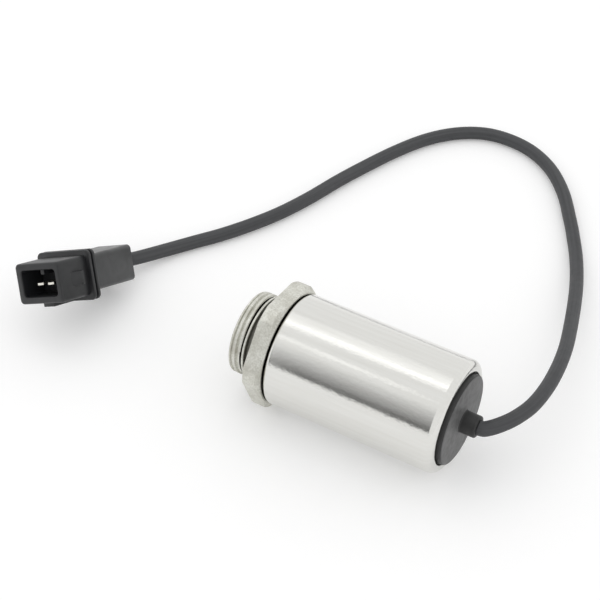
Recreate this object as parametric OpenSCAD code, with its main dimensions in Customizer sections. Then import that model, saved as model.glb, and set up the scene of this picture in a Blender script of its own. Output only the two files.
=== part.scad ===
// Push solenoid for a variable valve timing unit, lying on its side with its lead laid out beside it.
// The axis runs along X: the threaded nose points to -X and the lead leaves at +X. Z is up, in mm.
// The origin is on the floor under the middle of the solenoid.

/* [Threaded nose] */
// Outer diameter of the thread
nose_d = 30; // [27:0.5:36]
// Length of the nose ahead of the hexagon
nose_len = 10; // [8.5:0.5:13]
// Width of the plain relief between the thread and the hexagon
relief_w = 2.8; // [2.4:0.1:3.4]
// Thickness of the sealing ring in the relief
nose_ring_t = 2.2; // [1.8:0.1:2.6]
// Depth of the open recess in the nose
recess_depth = 4.5; // [3:0.5:6]

/* [Hexagon] */
// Distance across the flats
hex_af = 41; // [36:1:48]
// Thickness of the hexagon
hex_t = 6.2; // [5:0.1:7.4]
// Turn of the hexagon about the axis, from one flat lying level, in degrees
hex_turn = 9.5; // [0:0.5:15]
// Depth of the turned seat in the hexagon's front face that the sealing ring lies in
ring_seat = 0.4; // [0.2:0.1:0.8]
// Width of the neck that shows between the hexagon and the can
neck_w = 0.4; // [0.3:0.1:1]

/* [Can] */
// Outer diameter of the drawn can
can_d = 40.6; // [34.6:0.2:47]
// Length of the can
can_len = 63.7; // [52.9:0.1:75.7]
// Wall thickness of the can
can_wall = 2; // [1.6:0.1:2.4]
// Radius of the can's front corner
can_front_radius = 2.5; // [1.5:0.1:3]
// Radius of the edge that is rolled over the end cap
can_roll_radius = 2.8; // [2:0.1:3.4]

/* [End cap] */
// How far the cap's disc stands out of the can
cap_proud = 1.6; // [0.9:0.1:2.4]
// Width of the dark gap round the cap's disc
cap_gap = 0.6; // [0.4:0.1:1]
// Length of the cap inside the can
cap_inner_len = 9.1; // [7.9:0.1:10.7]
// Diameter of the central boss
boss_d = 7.8; // [6.6:0.1:9.4]
// Length of the central boss
boss_len = 5.9; // [4:0.1:9]

/* [Plunger] */
// Travel of the push pin
stroke = 3; // [2:0.1:3.6]
// Diameter of the armature
armature_d = 15.4; // [13:0.2:18.4]
// Diameter of the push pin
pin_d = 5; // [4:0.1:6]
// How far the pin's tip rests behind the nose's end
pin_set_back = 0.8; // [0.4:0.1:2]
// Radial running gap between the pin and its bushes
running_gap = 0.05; // [0.03:0.01:0.09]
// Radial gap between the armature and the guide tube
armature_gap = 0.3; // [0.2:0.05:0.4]
// Thickness of the brass shim that keeps the armature off the pole
shim_t = 0.3; // [0.2:0.1:0.6]
// Diameter of the spring wire
spring_wire_d = 0.8; // [0.6:0.1:1]

/* [Magnet circuit] */
// How far the front pole reaches into the bobbin
pole_reach = 12.6; // [10:0.2:15.4]
// Wall thickness of the guide tube
tube_wall = 0.9; // [0.7:0.1:1.2]
// Thickness of the front flux washer
washer_t = 3; // [2:0.5:4]
// Thickness of the rear yoke plate
yoke_t = 4; // [3:0.5:5]
// Thickness of the bobbin's flanges
flange_t = 2; // [1.5:0.1:2.6]

/* [Lead] */
// Diameter of the two-core lead
lead_d = 5.2; // [4.2:0.1:6.2]
// Diameter of one insulated core
core_d = 1.8; // [1.4:0.1:2.2]

/* [Connector] */
// Width of the socket's shroud
shroud_w = 21.5; // [18:0.5:26]
// Height of the socket's shroud
shroud_h = 14.7; // [12.2:0.1:17.5]
// Length of the shroud ahead of the collar
shroud_len = 14; // [12:0.1:16.8]
// Wall thickness of the shroud
shroud_wall = 2.6; // [2:0.1:3.1]
// How far the collar stands out beside the shroud
collar_side = 1.9; // [1.5:0.1:3]
// How far the collar stands out above and below the shroud
collar_lip = 1.8; // [1.4:0.1:2.6]
// Thickness of the collar, over both of its flanges
collar_t = 3.4; // [2.8:0.1:4.2]
// Width of the rear body
body_w = 17; // [14:0.5:20]
// Height of the rear body
body_h = 13.4; // [11:0.2:16]
// Length of the rear body behind the collar
body_len = 24.4; // [20.2:0.1:29.2]
// Distance between the middles of the two blades
blade_pitch = 5; // [4.2:0.1:6]
// Width of a blade
blade_w = 2.8; // [2.3:0.1:3.4]
// Thickness of a blade
blade_t = 0.8; // [0.6:0.1:1]
// How far a blade's tip lies inside the mouth
blade_set_back = 2.7; // [1:0.1:4]
// How far the blades lie below the middle of the socket
blade_drop = 0.6; // [0:0.1:1]

/* [Hidden] */
$fn = 96;

// How far a cut runs past the face that it opens
cut = 1;

// Stations along the axis, measured from the nose's end
thread_len = nose_len - relief_w;
s_hex = nose_len;
s_neck = s_hex + hex_t;
s_can = s_neck + neck_w;
s_front = s_can + can_wall;
s_bobbin = s_front + washer_t;
s_rear = s_can + can_len;
s_lip = s_rear - can_wall;
s_cap = s_lip - cap_inner_len;
s_yoke = s_cap - yoke_t;
s_disc = s_rear + cap_proud;
s_boss = s_disc + boss_len;
cap_cavity_len = 6.8;
s_cap_wall = s_cap + cap_cavity_len;
s_pole = s_bobbin + pole_reach;
stop_len = 4.6;
s_tube_end = s_cap - tube_wall;
s_stop = s_tube_end - stop_len;
end_gap = 0.3;
rest_gap = 0.2;
s_armature = s_pole + shim_t + stroke + end_gap;
armature_len = s_stop - rest_gap - s_armature;
pole_pocket = 7;
armature_pocket = 4;
bush_margin = 6;

// Radii about the axis
nose_r = nose_d / 2;
ring_stand = 0.2;
relief_r = nose_r - nose_ring_t + ring_stand;
ring_flat = 0.94;
ring_half = ring_flat * nose_ring_t / 2;
ring_seat_gap = 0.35;
ring_seat_r = relief_r + 2 * ring_half + ring_seat_gap;
can_r = can_d / 2;
can_in = can_r - can_wall;
spigot_step = 4;
spigot_r = can_in - spigot_step;
neck_step = 0.5;
neck_r = can_in - neck_step;
pin_r = pin_d / 2;
armature_r = armature_d / 2;
tube_in = armature_r + armature_gap;
tube_r = tube_in + tube_wall;
pole_shoulder = 0.5;
pole_r = tube_in + pole_shoulder;
recess_rim = 4.5;
recess_step = 1;
recess_r = max(nose_r - recess_rim, pole_r + recess_step);
bush_in = pin_r + running_gap;
bush_wall = 1.7;
bush_r = pin_r + bush_wall;
passage_gap = 0.6;
passage_r = pin_r + passage_gap;
wire_r = spring_wire_d / 2;
spring_gap = 1.05;
spring_r = pin_r + spring_gap + wire_r;
pocket_gap = 0.55;
pocket_r = spring_r + wire_r + pocket_gap;
bobbin_gap = 0.1;
bobbin_wall = 1.4;
bobbin_in = tube_r + bobbin_gap;
bobbin_core = bobbin_in + bobbin_wall;
flange_gap = 0.5;
flange_r = can_in - flange_gap;
tape_t = 0.4;
tape_gap = 1.5;
tape_r = can_in - tape_gap;
coil_r = tape_r - tape_t;
lip_reach = 1.6;
lip_r = can_in - lip_reach;
disc_r = lip_r - cap_gap;
disc_bevel = 0.8;
cap_wall = 3.2;
cap_cavity_r = can_in - cap_wall;
seal_t = 1.6;
seal_set = 2.4;
seal_rear = s_lip - seal_set;
seal_front = seal_rear - seal_t;
boss_r = boss_d / 2;
lead_r = lead_d / 2;
core_r = core_d / 2;
core_gap = 0.1;
core_spread = core_r + core_gap;
root_reach = 1.2;
s_root = s_cap_wall - root_reach;

// The hexagon's corners are turned down to a circle, and one of them carries the nose on the floor
corner_cut = 1.3;
hex_corner_r = hex_af / 2 / cos(30) - corner_cut;
axis_z = hex_corner_r * cos(acos(hex_af / 2 / hex_corner_r) - hex_turn);
nose_x = -s_boss / 2;

// Coil terminals: one tab above the guide tube and one below it
tab_rise = 1.7;
tab_z = tube_r + tab_rise;
tab_w = 3;
tab_t = 0.8;
tab_foot = 1;
tab_reach = 3;
tab_end = s_cap + tab_reach;
slot_gap = 0.6;

// Connector: its own zero is the middle of its collar's front face, and its mouth faces its -Y.
// It leans on a rear corner with its mouth raised, as its stiff lead holds it.
conn_x = -116.6;
conn_y = -9;
conn_yaw = -8.3;
conn_pitch = -25.5;
conn_roll = -28.8;
collar_w = shroud_w + 2 * collar_side;
collar_h = shroud_h + 2 * collar_lip;
cavity_w = shroud_w - 2 * shroud_wall;
cavity_h = shroud_h - 2 * shroud_wall;
cavity_floor = 3;
body_wall = 2.2;
rear_y = collar_t + body_len;
rear_wall = 4;
carrier_len = 4;
blade_tail = 5.6;
tail_len = 7;
grommet_wall = 1.8;
grommet_r = lead_r + grommet_wall;
grommet_len = rear_wall + 1;
body_corner = 1.5;
collar_corner = 2;
blade_low = -blade_drop - blade_t / 2;
conn_back = [-sin(conn_yaw) * cos(conn_pitch), cos(conn_yaw) * cos(conn_pitch), sin(conn_pitch)];

// How far a round-cornered outline across the connector, set back along it, reaches below its zero
side_rise = abs(sin(conn_roll) * cos(conn_pitch));
top_rise = cos(conn_roll) * cos(conn_pitch);
function reach_down(w, h, r, back) =
  (w / 2 - r) * side_rise + (h / 2 - r) * top_rise + r * cos(conn_pitch) - back * sin(conn_pitch);
conn_z = max(
  reach_down(body_w, body_h, body_corner, rear_y),
  reach_down(collar_w, collar_h, collar_corner, collar_t)
);

// The lead's route: its first points go with the boss, and the others stay where they are on the floor
lead_exit = [nose_x + s_boss, 0, axis_z];
lead_stub = 4;
lead_floor = lead_r;
lead_start = [[2, 0.3, 0.2], [5.5, 3.3, 1], [9.1, 9.1, 1.3], [11.6, 18.4, 0.5]];
lead_path = [
  [55.6, 32.6, 19.8], [53.1, 50.5, 15.8], [48.3, 69.2, 11.2], [41.4, 91.4, 6.4], [34.4, 108.8, 3.6],
  [27.7, 121.7, lead_floor], [21.8, 131.6, lead_floor], [14.3, 143.1, lead_floor], [4.4, 153.7, lead_floor],
  [-6.7, 160.3, lead_floor], [-18, 162.6, lead_floor], [-29, 161.2, lead_floor], [-39.5, 155.1, lead_floor],
  [-48.4, 145.2, lead_floor], [-55.8, 131.9, lead_floor], [-62, 117.4, lead_floor],
  [-66.9, 104.6, lead_floor], [-71.8, 89.8, lead_floor], [-77.3, 76.4, lead_floor],
  [-83.8, 64.5, lead_floor], [-90.9, 53.7, lead_floor], [-98.4, 44, lead_floor],
  [-104.6, 34.5, 3.4], [-109.6, 25.4, 5]
];
lead_end = [conn_x, conn_y, conn_z] + rear_y * conn_back;
lead_route = concat(
  [lead_exit], [for (p = lead_start) lead_exit + p], lead_path, [lead_end + lead_stub * conn_back, lead_end]
);
lead_sides = 10;

// Places a part drawn about Z at a station on the axis, with its Z along +X
module on_axis(station) {
  translate([nose_x + station, 0, axis_z])
    rotate([0, 90, 0])
      children();
}

// A plain cylinder between two stations, drawn about Z
module cylinder_from(from, to, r) {
  translate([0, 0, from])
    cylinder(r = r, h = to - from);
}

// A ring about the axis from one station to another
module ring(from, to, outer, inner) {
  on_axis(from)
    difference() {
      cylinder(r = outer, h = to - from);
      translate([0, 0, -cut])
        cylinder(r = inner, h = to - from + 2 * cut);
    }
}

// Places a part in the connector's own frame
module at_connector() {
  translate([conn_x, conn_y, conn_z])
    rotate([0, 0, conn_yaw])
      rotate([conn_pitch, 0, 0])
        rotate([0, conn_roll, 0])
          children();
}

// Extrudes an outline drawn across the connector, from one place on its length to another
module along_connector(from, to) {
  translate([0, to, 0])
    rotate([90, 0, 0])
      linear_extrude(to - from)
        children();
}

// A rectangle about the centre with round corners
module round_rect(w, h, r) {
  square([w - 2 * r, h], center = true);
  square([w, h - 2 * r], center = true);
  for (x = [-1, 1], y = [-1, 1])
    translate([x * (w / 2 - r), y * (h / 2 - r)])
      circle(r, $fn = 32);
}

// Curve through the route's points, and the tube swept along it
function unit(v) = v / norm(v);
function mix(a, b, c, d, t) =
  0.5 * (2 * b + (c - a) * t + (2 * a - 5 * b + 4 * c - d) * t * t + (3 * b - a - 3 * c + d) * t * t * t);
function place(p, i) = p[max(0, min(len(p) - 1, i))];
function smooth(p, steps) = [
  for (i = [0 : len(p) - 2], k = [0 : steps - 1])
    mix(place(p, i - 1), place(p, i), place(p, i + 1), place(p, i + 2), k / steps),
  p[len(p) - 1]
];
function heading(p, i) = unit(place(p, i + 1) - place(p, i - 1));

// Sweeps a circle along the points: the first and last circles stand square to the given directions
module tube(p, r, sides, start, end, up) {
  last = len(p) - 1;
  points = [
    for (i = [0 : last])
      let (
        t = i == 0 ? start : i == last ? end : heading(p, i),
        a = unit(cross(t, up)),
        b = cross(a, t)
      )
      for (k = [0 : sides - 1])
        p[i] + r * (cos(360 * k / sides) * a + sin(360 * k / sides) * b)
  ];
  walls = [
    for (i = [0 : last - 1], k = [0 : sides - 1])
      let (n = (k + 1) % sides, low = i * sides, high = low + sides)
      each [[low + k, high + n, high + k], [low + k, low + n, high + n]]
  ];
  start_cap = [for (k = [0 : sides - 1]) sides - 1 - k];
  end_cap = [for (k = [0 : sides - 1]) last * sides + k];
  polyhedron(points, concat(walls, [start_cap, end_cap]), convexity = 10);
}

// Nose: threaded cylinder, relief for the ring, hexagon, neck and the spigot that the can is joined to
module nose_fitting() {
  lead_in = 1;
  relief_slope = 0.6;
  rear_chamfer = 1.2;
  rear_chamfer_r = 1.9;
  front_chamfer = 0.4;
  color([0.76, 0.75, 0.70])
    on_axis(0)
      difference() {
        union() {
          rotate_extrude()
            polygon([
              [0, 0], [nose_r - lead_in, 0], [nose_r, lead_in], [nose_r, thread_len - relief_slope],
              [relief_r, thread_len], [relief_r, s_hex + ring_seat], [neck_r, s_hex + ring_seat],
              [neck_r, s_can], [spigot_r, s_can], [spigot_r, s_front], [0, s_front]
            ]);
          intersection() {
            translate([0, 0, s_hex])
              rotate([0, 0, 30 - hex_turn])
                cylinder(r = hex_af / 2 / cos(30), h = hex_t, $fn = 6);
            rotate_extrude()
              polygon([
                [0, s_hex + ring_seat], [ring_seat_r, s_hex + ring_seat], [ring_seat_r, s_hex],
                [hex_corner_r - front_chamfer, s_hex], [hex_corner_r, s_hex + front_chamfer],
                [hex_corner_r, s_neck - rear_chamfer], [hex_corner_r - rear_chamfer_r, s_neck], [0, s_neck]
              ]);
          }
        }
        cylinder_from(-cut, recess_depth, recess_r);
        cylinder_from(0, s_front + cut, pole_r);
      }
}

// Sealing ring, a little flattened where it lies on the relief and in its seat in the hexagon
module nose_ring() {
  color([0.07, 0.07, 0.07])
    on_axis(s_hex + ring_seat - ring_half)
      rotate_extrude()
        translate([relief_r + ring_half, 0])
          intersection() {
            circle(nose_ring_t / 2, $fn = 48);
            square(2 * ring_half, center = true);
          }
}

// Can: drawn steel, open at the front for the spigot and rolled over the end cap at the rear
module can() {
  color([0.80, 0.80, 0.78])
    on_axis(s_can)
      rotate_extrude()
        difference() {
          union() {
            translate([0, can_front_radius])
              square([can_r, can_len - can_front_radius - can_roll_radius]);
            square([can_r - can_front_radius, can_front_radius]);
            translate([can_r - can_front_radius, can_front_radius])
              circle(can_front_radius, $fn = 48);
            translate([0, can_len - can_roll_radius])
              square([can_r - can_roll_radius, can_roll_radius]);
            translate([can_r - can_roll_radius, can_len - can_roll_radius])
              circle(can_roll_radius, $fn = 48);
          }
          translate([-can_r, can_wall])
            square([can_r + can_in, can_len - 2 * can_wall]);
          translate([-can_r, -cut])
            square([can_r + spigot_r, can_len]);
          translate([-can_r, cut])
            square([can_r + lip_r, can_len]);
        }
}

// Front pole: soft iron, holding the front bush, with a pocket for the spring
module front_pole() {
  color([0.62, 0.62, 0.62])
    on_axis(0)
      difference() {
        union() {
          translate([0, 0, recess_depth])
            cylinder(r = pole_r, h = s_bobbin - recess_depth);
          cylinder_from(s_bobbin, s_pole, tube_in);
        }
        cylinder_from(recess_depth - cut, s_bobbin - bush_margin, bush_r);
        cylinder_from(recess_depth, s_pole, passage_r);
        cylinder_from(s_pole - pole_pocket, s_pole + cut, pocket_r);
      }
}

// Bronze bush in the front pole
module front_bush() {
  bush_set = 0.8;
  color([0.66, 0.50, 0.28])
    ring(recess_depth + bush_set, s_bobbin - bush_margin, bush_r, bush_in);
}

// Soft iron washer that carries the flux from the can to the pole
module front_washer() {
  color([0.62, 0.62, 0.62])
    ring(s_front, s_bobbin, can_in, pole_r);
}

// Stainless push pin, its tip a little rounded off
module push_pin() {
  tip = 0.6;
  color([0.78, 0.78, 0.80])
    on_axis(pin_set_back)
      rotate_extrude()
        polygon([
          [0, 0], [pin_r - tip, 0], [pin_r, tip], [pin_r, s_tube_end - tip - pin_set_back],
          [0, s_tube_end - tip - pin_set_back]
        ]);
}

// Armature, pressed on the pin, with a spring pocket and two bleed holes
module armature() {
  bleed_r = 0.9;
  bleed_at = (pocket_r + armature_r) / 2;
  color([0.60, 0.60, 0.60])
    on_axis(s_armature)
      difference() {
        cylinder(r = armature_r, h = armature_len);
        cylinder_from(-cut, armature_len + cut, pin_r);
        cylinder_from(-cut, armature_pocket, pocket_r);
        for (side = [-1, 1])
          translate([0, side * bleed_at, -cut])
            cylinder(r = bleed_r, h = armature_len + 2 * cut, $fn = 32);
      }
}

// Return spring round the pin, between the two pockets, with a closed turn at each end
module return_spring() {
  turns = 7;
  steps = 10;
  sides = 6;
  from = s_pole - pole_pocket + wire_r;
  to = s_armature + armature_pocket - wire_r;
  turn_gap = 0.04;
  closed = spring_wire_d + turn_gap;
  open = (to - from - 2 * closed) / (turns - 2);
  function rise(n) =
    n < 1 ? n * closed
    : n > turns - 1 ? to - from - (turns - n) * closed
    : closed + (n - 1) * open;
  points = [
    for (i = [0 : turns * steps])
      [rise(i / steps) + from, spring_r * cos(360 * i / steps), spring_r * sin(360 * i / steps)]
  ];
  color([0.55, 0.56, 0.58])
    translate([nose_x, 0, axis_z])
      tube(points, wire_r, sides, [0, 0, 1], [0, 0, 1], [1, 0, 0]);
}

// Brass shim on the pole's face
module pole_shim() {
  edge_gap = 0.3;
  color([0.76, 0.62, 0.30])
    ring(s_pole, s_pole + shim_t, tube_in - edge_gap, pocket_r);
}

// Guide tube: thin non-magnetic cup that the armature runs in
module guide_tube() {
  color([0.70, 0.70, 0.72])
    on_axis(s_bobbin)
      difference() {
        cylinder(r = tube_r, h = s_cap - s_bobbin);
        cylinder_from(-cut, s_tube_end - s_bobbin, tube_in);
      }
}

// Plug at the closed end of the guide tube, holding the rear bush
module rear_stop() {
  color([0.62, 0.62, 0.62])
    ring(s_stop, s_tube_end, tube_in, bush_r);
}

// Bronze bush in the rear stop
module rear_bush() {
  color([0.66, 0.50, 0.28])
    ring(s_stop + rest_gap, s_tube_end, bush_r, bush_in);
}

// Bobbin, with two pockets in its rear flange for the terminals' feet
module bobbin() {
  color([0.16, 0.16, 0.17])
    difference() {
      union() {
        ring(s_bobbin, s_yoke, bobbin_core, bobbin_in);
        ring(s_bobbin, s_bobbin + flange_t, flange_r, bobbin_in);
        ring(s_yoke - flange_t, s_yoke, flange_r, bobbin_in);
      }
      for (side = [-1, 1])
        tab(side, s_yoke - tab_foot, s_yoke + cut, 0);
    }
}

// A flat tab above or below the axis, grown all round by a gap
module tab(side, from, to, gap) {
  translate([nose_x + from, -tab_w / 2 - gap, axis_z + side * tab_z - tab_t / 2 - gap])
    cube([to - from, tab_w + 2 * gap, tab_t + 2 * gap]);
}

// Copper winding, drawn as the solid it fills
module coil_winding() {
  color([0.72, 0.42, 0.22])
    ring(s_bobbin + flange_t, s_yoke - flange_t, coil_r, bobbin_core);
}

// Tape over the winding
module winding_tape() {
  color([0.82, 0.70, 0.25])
    ring(s_bobbin + flange_t, s_yoke - flange_t, tape_r, coil_r);
}

// Rear yoke plate, with a slot for each terminal
module rear_yoke() {
  color([0.62, 0.62, 0.62])
    difference() {
      ring(s_yoke, s_cap, can_in, tube_r);
      for (side = [-1, 1])
        tab(side, s_yoke - cut, s_cap + cut, slot_gap);
    }
}

// End cap: disc, hollow skirt with a seal groove, and the boss that the lead comes out of
module end_cap() {
  boss_edge = 0.5;
  boss_root = 0.6;
  color([0.20, 0.20, 0.21])
    on_axis(0)
      difference() {
        rotate_extrude()
          polygon([
            [0, s_cap], [can_in, s_cap], [can_in, seal_front], [can_in - seal_t, seal_front],
            [can_in - seal_t, seal_rear], [can_in, seal_rear], [can_in, s_lip],
            [disc_r, s_lip], [disc_r, s_disc - disc_bevel], [disc_r - disc_bevel, s_disc],
            [boss_r + boss_root, s_disc], [boss_r, s_disc + boss_root], [boss_r, s_boss - boss_edge],
            [boss_r - boss_edge, s_boss], [0, s_boss]
          ]);
        cylinder_from(s_cap - cut, s_cap_wall, cap_cavity_r);
        cylinder_from(s_cap, s_boss + cut, lead_r);
      }
}

// Seal between the end cap and the can
module cap_seal() {
  color([0.07, 0.07, 0.07])
    ring(seal_front, seal_rear, can_in, can_in - seal_t);
}

// Tab that leads one end of the winding through the yoke
module coil_terminal(side) {
  color([0.76, 0.62, 0.30])
    tab(side, s_yoke - tab_foot, tab_end, 0);
}

// Core between a coil terminal and the lead's sheath, inside the cap. Each of its points is a distance
// from the tab's end or before the sheath, and a drop below the tab or a rise above the core's place.
module core_wire(side, shade) {
  at_tab = [[0, 0], [0.9, 0.4], [1.4, 2.6]];
  at_sheath = [[1.2, 3], [0.7, 0.6], [0, 0]];
  points = concat(
    [for (p = at_tab) [tab_end + p[0], 0, side * (tab_z - p[1])]],
    [for (p = at_sheath) [s_root - p[0], 0, side * (core_spread + p[1])]]
  );
  color(shade)
    translate([nose_x, 0, axis_z])
      tube(smooth(points, 2), core_r, 8, [1, 0, 0], [1, 0, 0], [0, 1, 0]);
}

// Straight start of the lead, held in the boss
module lead_root() {
  color([0.30, 0.30, 0.31])
    on_axis(0)
      cylinder_from(s_root, s_boss, lead_r);
}

// Free lead, from the boss's end to the connector's rear face
module lead_cord() {
  color([0.30, 0.30, 0.31])
    tube(smooth(lead_route, 2), lead_r, lead_sides, [1, 0, 0], -conn_back, [0, 0, 1]);
}

// Connector's front: shroud round the blades, clip ramps on its narrow ends, and a collar of two flanges
module connector_shell() {
  corner = 1.4;
  cavity_corner = 1.2;
  groove = 0.8;
  groove_depth = 1;
  ramp_w = 5;
  ramp_h = 1.9;
  ramp_from = -8.6;
  ramp_to = -3.6;
  ramp_land = 2;
  key_w = 5.4;
  key_h = 1.7;
  key_set = 3.3;
  guide_w = 1.8;
  guide_h = 2;
  guide_set = 2.5;
  color([0.25, 0.25, 0.26])
    at_connector()
      difference() {
        union() {
          along_connector(-shroud_len, 0)
            round_rect(shroud_w, shroud_h, corner);
          along_connector(0, (collar_t - groove) / 2)
            round_rect(collar_w, collar_h, collar_corner);
          along_connector((collar_t - groove) / 2, (collar_t + groove) / 2)
            round_rect(
              collar_w - 2 * groove_depth, collar_h - 2 * groove_depth, collar_corner - groove_depth / 2
            );
          along_connector((collar_t + groove) / 2, collar_t)
            round_rect(collar_w, collar_h, collar_corner);
          for (side = [-1, 1])
            translate([side * shroud_w / 2, 0, -ramp_w / 2])
              linear_extrude(ramp_w)
                polygon([
                  [-side, ramp_from], [0, ramp_from], [side * ramp_h, ramp_to - ramp_land],
                  [side * ramp_h, ramp_to], [-side, ramp_to]
                ]);
          translate([-key_w / 2, key_set - shroud_len, -shroud_h / 2 - key_h])
            cube([key_w, shroud_len - key_set + cut, key_h + cut]);
        }
        difference() {
          along_connector(-shroud_len - cut, -cavity_floor)
            round_rect(cavity_w, cavity_h, cavity_corner);
          translate([-guide_w / 2, guide_set - shroud_len, cavity_h / 2 - guide_h])
            cube([guide_w, shroud_len, guide_h + cut]);
        }
        blade_slot(-1);
        blade_slot(1);
      }
}

// Slot that one blade passes through, as wide as the blade
module blade_slot(side) {
  translate([side * blade_pitch / 2 - blade_w / 2, -cavity_floor - cut, blade_low])
    cube([blade_w, cavity_floor + collar_t + 2 * cut, blade_t]);
}

// Connector's rear body: a box behind the collar with an opening for the grommet
module connector_rear_body() {
  color([0.32, 0.32, 0.33])
    at_connector()
      difference() {
        along_connector(collar_t, rear_y)
          round_rect(body_w, body_h, body_corner);
        along_connector(collar_t - cut, rear_y - rear_wall)
          square([body_w - 2 * body_wall, body_h - 2 * body_wall], center = true);
        along_connector(rear_y - rear_wall - cut, rear_y + cut)
          circle(grommet_r);
      }
}

// Insulating block that holds the blades inside the rear body
module contact_carrier() {
  color([0.75, 0.73, 0.68])
    at_connector()
      difference() {
        along_connector(collar_t, collar_t + carrier_len)
          square([body_w - 2 * body_wall, body_h - 2 * body_wall], center = true);
        for (side = [-1, 1])
          translate([side * blade_pitch / 2 - blade_w / 2, collar_t - cut, blade_low])
            cube([blade_w, carrier_len + 2 * cut, blade_t]);
      }
}

// Flat blade with a tapered tip
module contact_blade(side) {
  taper = 0.7;
  tip = -shroud_len + blade_set_back;
  color([0.80, 0.78, 0.72])
    at_connector()
      translate([side * blade_pitch / 2, 0, blade_low])
        linear_extrude(blade_t)
          polygon([
            [-blade_w / 2 + taper, tip], [blade_w / 2 - taper, tip], [blade_w / 2, tip + taper],
            [blade_w / 2, collar_t + blade_tail], [-blade_w / 2, collar_t + blade_tail],
            [-blade_w / 2, tip + taper]
          ]);
}

// Core between a blade and the lead's sheath, inside the rear body
module tail_core(side, shade) {
  from = collar_t + blade_tail;
  to = rear_y - tail_len;
  straight = 0.8;
  ease = 0.1;
  points = [
    [side * blade_pitch / 2, from, -blade_drop],
    [side * (blade_pitch / 2 - ease), from + straight, -blade_drop],
    [side * core_spread, to - straight, 0], [side * core_spread, to, 0]
  ];
  color(shade)
    at_connector()
      tube(smooth(points, 2), core_r, 8, [0, 1, 0], [0, 1, 0], [0, 0, 1]);
}

// Straight end of the lead, held in the grommet
module lead_tail() {
  color([0.30, 0.30, 0.31])
    at_connector()
      along_connector(rear_y - tail_len, rear_y)
        circle(lead_r);
}

// Rubber grommet between the lead and the rear body
module wire_grommet() {
  color([0.10, 0.10, 0.10])
    at_connector()
      along_connector(rear_y - grommet_len, rear_y)
        difference() {
          circle(grommet_r);
          circle(lead_r);
        }
}

nose_fitting();
nose_ring();
can();
front_pole();
front_bush();
front_washer();
push_pin();
armature();
return_spring();
pole_shim();
guide_tube();
rear_stop();
rear_bush();
bobbin();
coil_winding();
winding_tape();
rear_yoke();
end_cap();
cap_seal();
coil_terminal(-1);  // coil_terminal_1
coil_terminal(1);  // coil_terminal_2
core_wire(-1, [0.10, 0.10, 0.10]);  // core_wire_1
core_wire(1, [0.55, 0.10, 0.08]);  // core_wire_2
lead_root();
lead_cord();
connector_shell();
connector_rear_body();
contact_carrier();
contact_blade(-1);  // contact_blade_1
contact_blade(1);  // contact_blade_2
tail_core(-1, [0.10, 0.10, 0.10]);  // tail_core_1
tail_core(1, [0.55, 0.10, 0.08]);  // tail_core_2
lead_tail();
wire_grommet();
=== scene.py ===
# %% [markdown]
# # A push solenoid for variable valve timing
#
# The part screws into an engine's timing cover. A drawn steel can holds the coil, a turned steel
# fitting with a thread and a hexagon closes one end, and a black plastic cap closes the other.
# A short lead comes out of the cap and ends in a two-blade connector.
#
# The solids were made in CAD and are loaded here as a fixed frame. This lesson gives each of them its
# finish, and replaces the ones whose real surface has more detail than a CAD solid carries.

# %% Load the frame
import math

import bmesh
import bpy
import numpy as np
from mathutils import Matrix, Vector


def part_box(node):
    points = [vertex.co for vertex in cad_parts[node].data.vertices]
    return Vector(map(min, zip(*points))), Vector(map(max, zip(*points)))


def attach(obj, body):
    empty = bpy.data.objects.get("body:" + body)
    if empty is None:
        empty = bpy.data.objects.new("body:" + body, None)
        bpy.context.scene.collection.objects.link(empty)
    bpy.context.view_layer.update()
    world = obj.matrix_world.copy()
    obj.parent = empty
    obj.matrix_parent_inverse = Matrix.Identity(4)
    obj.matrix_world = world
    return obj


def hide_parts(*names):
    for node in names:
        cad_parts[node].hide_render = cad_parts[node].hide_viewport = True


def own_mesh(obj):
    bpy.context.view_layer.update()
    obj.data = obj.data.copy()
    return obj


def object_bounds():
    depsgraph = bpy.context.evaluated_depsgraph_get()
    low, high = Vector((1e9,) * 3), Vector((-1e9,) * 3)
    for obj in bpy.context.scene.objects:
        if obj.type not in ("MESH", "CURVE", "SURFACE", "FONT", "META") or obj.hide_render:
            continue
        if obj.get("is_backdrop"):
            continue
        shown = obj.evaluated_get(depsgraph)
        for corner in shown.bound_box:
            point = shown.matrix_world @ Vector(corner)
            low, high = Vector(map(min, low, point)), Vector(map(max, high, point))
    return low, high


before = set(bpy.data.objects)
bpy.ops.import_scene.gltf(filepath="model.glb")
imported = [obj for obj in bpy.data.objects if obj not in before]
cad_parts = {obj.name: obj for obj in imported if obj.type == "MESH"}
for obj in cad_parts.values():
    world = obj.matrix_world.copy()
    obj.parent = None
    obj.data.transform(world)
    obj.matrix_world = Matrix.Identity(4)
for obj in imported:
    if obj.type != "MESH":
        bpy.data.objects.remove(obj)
cad_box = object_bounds()
print("CAD box, lowest and highest corner:", [tuple(round(v, 4) for v in corner) for corner in cad_box])

# %% [markdown]
# ## Units, colours and nodes
#
# Blender works in metres, and a drawing of this part is in millimetres, so lengths are written in
# millimetres and multiplied once. Colours are read off as sRGB hex values, but a shader adds light in
# linear values, so one function converts them. Another one adds a shader node, sets it and links it.

# %% Small helpers
MM = 0.001


def colour(hex_value):
    """The linear colour for an sRGB hex value such as "C8C8C0"."""
    parts = [int(hex_value[i : i + 2], 16) / 255 for i in (0, 2, 4)]
    return (*[p / 12.92 if p <= 0.04045 else ((p + 0.055) / 1.055) ** 2.4 for p in parts], 1.0)


def add(tree, kind, inputs=None, **settings):
    """Adds a node, sets its properties, and sets or links its inputs."""
    node = tree.nodes.new(kind)
    for name, value in settings.items():
        setattr(node, name, value)
    for key, value in (inputs or {}).items():
        if isinstance(value, bpy.types.NodeSocket):
            tree.links.new(value, node.inputs[key])
        else:
            node.inputs[key].default_value = value
    return node


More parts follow.
